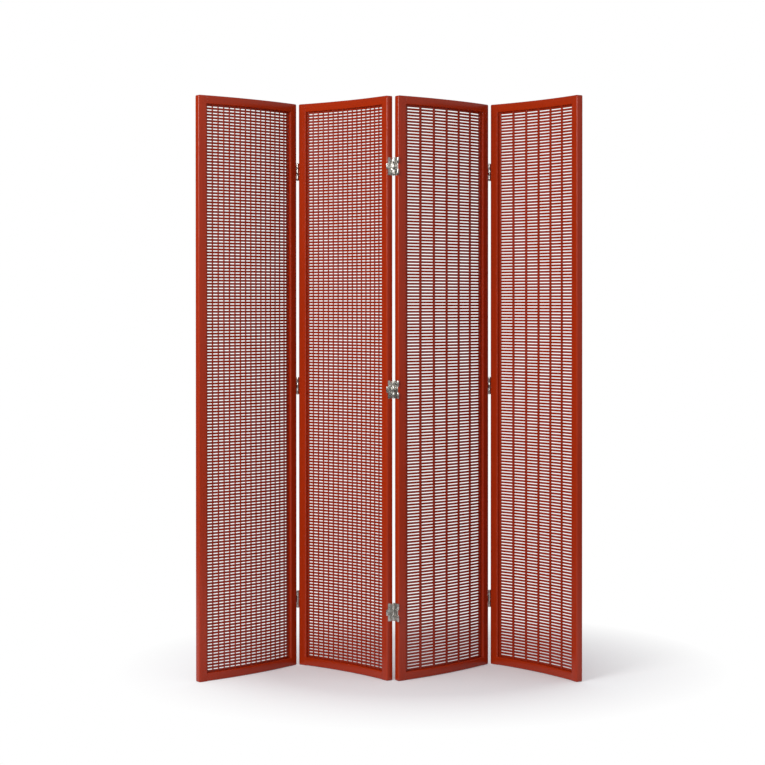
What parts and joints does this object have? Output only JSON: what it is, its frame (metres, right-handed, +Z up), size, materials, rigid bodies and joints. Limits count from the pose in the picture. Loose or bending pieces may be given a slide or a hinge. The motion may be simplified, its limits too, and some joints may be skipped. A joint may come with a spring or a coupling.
{
  "type": "folding screen",
  "caption": "Free-standing folding screen: curved framed panels with fine slatted lattice, hinged edge to edge so they zigzag, straighten or fold flat.",
  "frame": {"origin": "floor under the middle of the standing screen's outline", "axes": "+Z up, +X to the right and +Y to the back as the picture shows the screen"},
  "size_m": [1.186, 0.3274, 1.8],
  "materials": {
    "frame_lacquer": "gloss red lacquer",
    "lattice_lacquer": "satin red lacquer",
    "hinge_plate": "bright nickel plate",
    "hinge_pin": "plain steel"
  },
  "bodies": {
    "panel_1": {"panel_1_left_stile": "frame_lacquer", "panel_1_right_stile": "frame_lacquer", "panel_1_bottom_rail": "frame_lacquer", "panel_1_top_rail": "frame_lacquer", "panel_1_lattice_bars": "lattice_lacquer", "panel_1_lattice_slats": "lattice_lacquer", "hinge_line_1_left_leaves": "hinge_plate", "hinge_line_1_left_strap_pins": "hinge_pin"},
    "panel_2": {"panel_2_left_stile": "frame_lacquer", "panel_2_right_stile": "frame_lacquer", "panel_2_bottom_rail": "frame_lacquer", "panel_2_top_rail": "frame_lacquer", "panel_2_lattice_bars": "lattice_lacquer", "panel_2_lattice_slats": "lattice_lacquer", "hinge_line_1_right_leaves": "hinge_plate", "hinge_line_1_right_strap_pins": "hinge_pin", "hinge_line_1_pins": "hinge_pin", "hinge_line_2_left_leaves": "hinge_plate", "hinge_line_2_left_strap_pins": "hinge_pin"},
    "panel_3": {"panel_3_left_stile": "frame_lacquer", "panel_3_right_stile": "frame_lacquer", "panel_3_bottom_rail": "frame_lacquer", "panel_3_top_rail": "frame_lacquer", "panel_3_lattice_bars": "lattice_lacquer", "panel_3_lattice_slats": "lattice_lacquer", "hinge_line_2_right_leaves": "hinge_plate", "hinge_line_2_right_strap_pins": "hinge_pin", "hinge_line_2_pins": "hinge_pin", "hinge_line_3_left_leaves": "hinge_plate", "hinge_line_3_left_strap_pins": "hinge_pin"},
    "panel_4": {"panel_4_left_stile": "frame_lacquer", "panel_4_right_stile": "frame_lacquer", "panel_4_bottom_rail": "frame_lacquer", "panel_4_top_rail": "frame_lacquer", "panel_4_lattice_bars": "lattice_lacquer", "panel_4_lattice_slats": "lattice_lacquer", "hinge_line_3_right_leaves": "hinge_plate", "hinge_line_3_right_strap_pins": "hinge_pin", "hinge_line_3_pins": "hinge_pin"}
  },
  "joints": [
    {"name": "fold_12", "type": "hinge", "parent": "panel_2", "child": "panel_1", "pos_m": [-0.30017, 0.12803, 0.9], "axis": [0, 0, 1], "range_deg": [-89, 90]},
    {"name": "fold_23", "type": "hinge", "parent": "panel_2", "child": "panel_3", "pos_m": [0.01372, -0.12892, 0.9], "axis": [0, 0, 1], "range_deg": [-87.9, 91.1]},
    {"name": "fold_34", "type": "hinge", "parent": "panel_3", "child": "panel_4", "pos_m": [0.31609, 0.14147, 0.9], "axis": [0, 0, -1], "range_deg": [-94.8, 84.2]}
  ]
}
